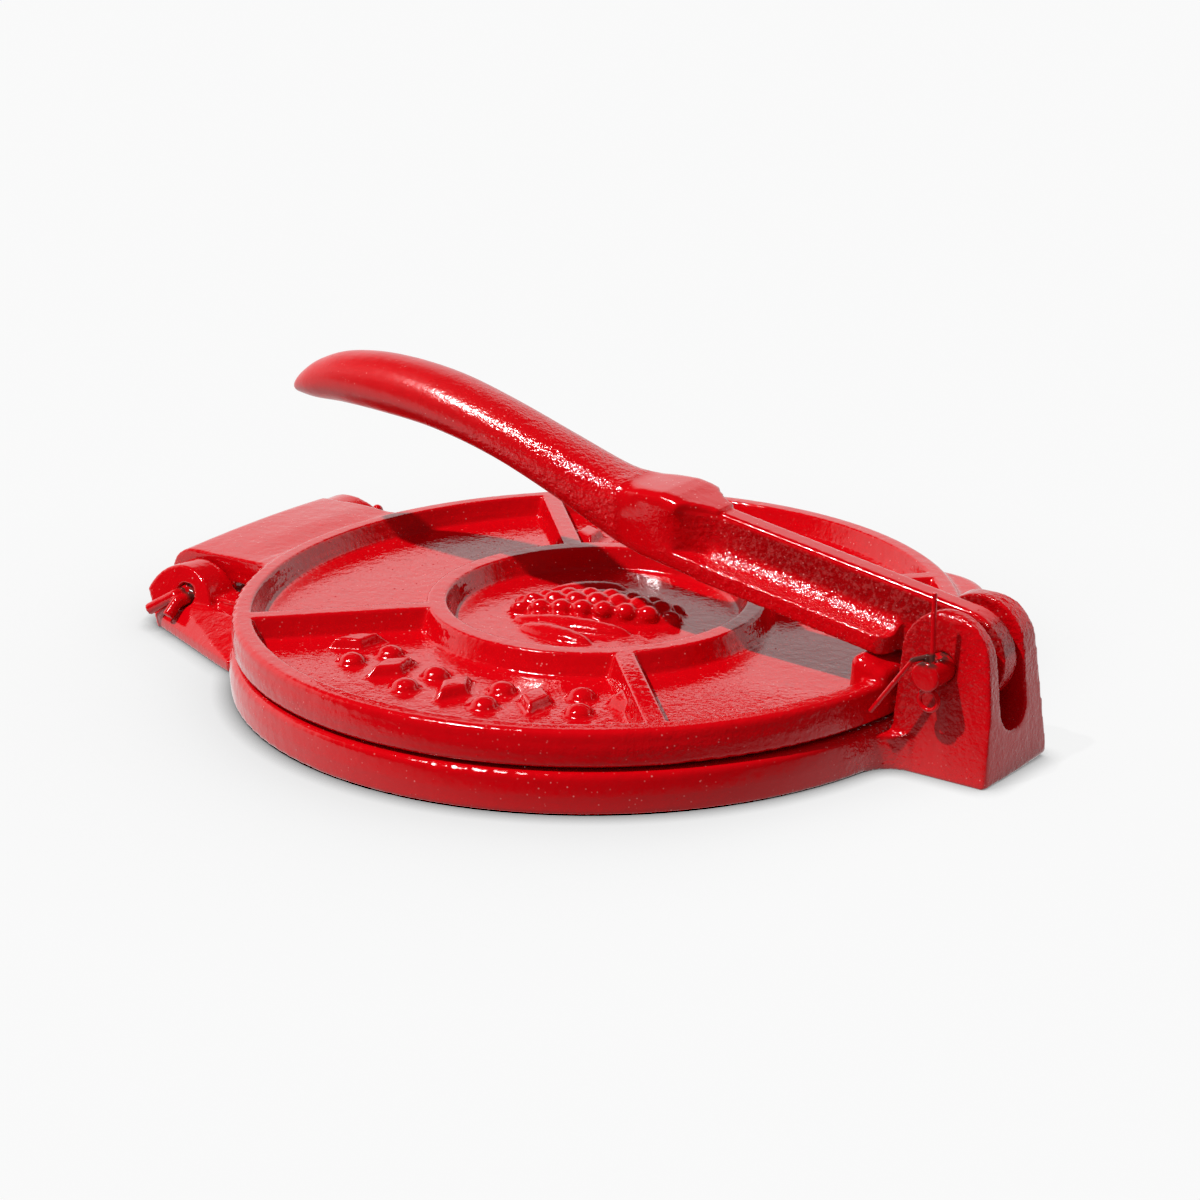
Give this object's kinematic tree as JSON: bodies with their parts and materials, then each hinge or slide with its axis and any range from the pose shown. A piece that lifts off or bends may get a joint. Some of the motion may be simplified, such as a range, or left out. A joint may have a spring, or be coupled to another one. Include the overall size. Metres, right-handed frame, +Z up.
{
  "type": "tortilla press",
  "caption": "Lever-type cast-iron tortilla press: hinged round plates closed by a handled lever in a clevis, painted glossy red.",
  "frame": {"origin": "centre of the lower plate, on the surface it stands on", "axes": "+X from the hinge to the lever's clevis, +Y to the back, +Z up"},
  "size_m": [0.2719, 0.2022, 0.0792],
  "materials": {
    "base_paint": "glossy red enamel over cast iron",
    "lid_paint": "glossy red enamel over cast iron",
    "lever_paint": "glossy red enamel over cast iron",
    "hinge_pin_steel": "red paint over steel wire",
    "lever_pin_steel": "red paint over steel",
    "cotter_steel": "red paint over steel wire"
  },
  "bodies": {
    "base": {"base": "base_paint", "hinge_pin": "hinge_pin_steel", "lever_pin": "lever_pin_steel", "lever_cotter": "cotter_steel"},
    "lid": {"lid": "lid_paint"},
    "lever": {"lever": "lever_paint"}
  },
  "joints": [
    {"name": "lever_pivot", "type": "hinge", "parent": "base", "child": "lever", "pos_m": [0.1142, 0, 0.0287], "axis": [0, 1, 0], "range_deg": [0, 170]},
    {"name": "lid_hinge", "type": "hinge", "parent": "base", "child": "lid", "pos_m": [-0.117, 0, 0.0099], "axis": [0, -1, 0], "range_deg": [0, 40]}
  ],
  "couplings": [
    {"joint": "lid_hinge", "follows": "lever_pivot", "ratio": 0.08}
  ]
}
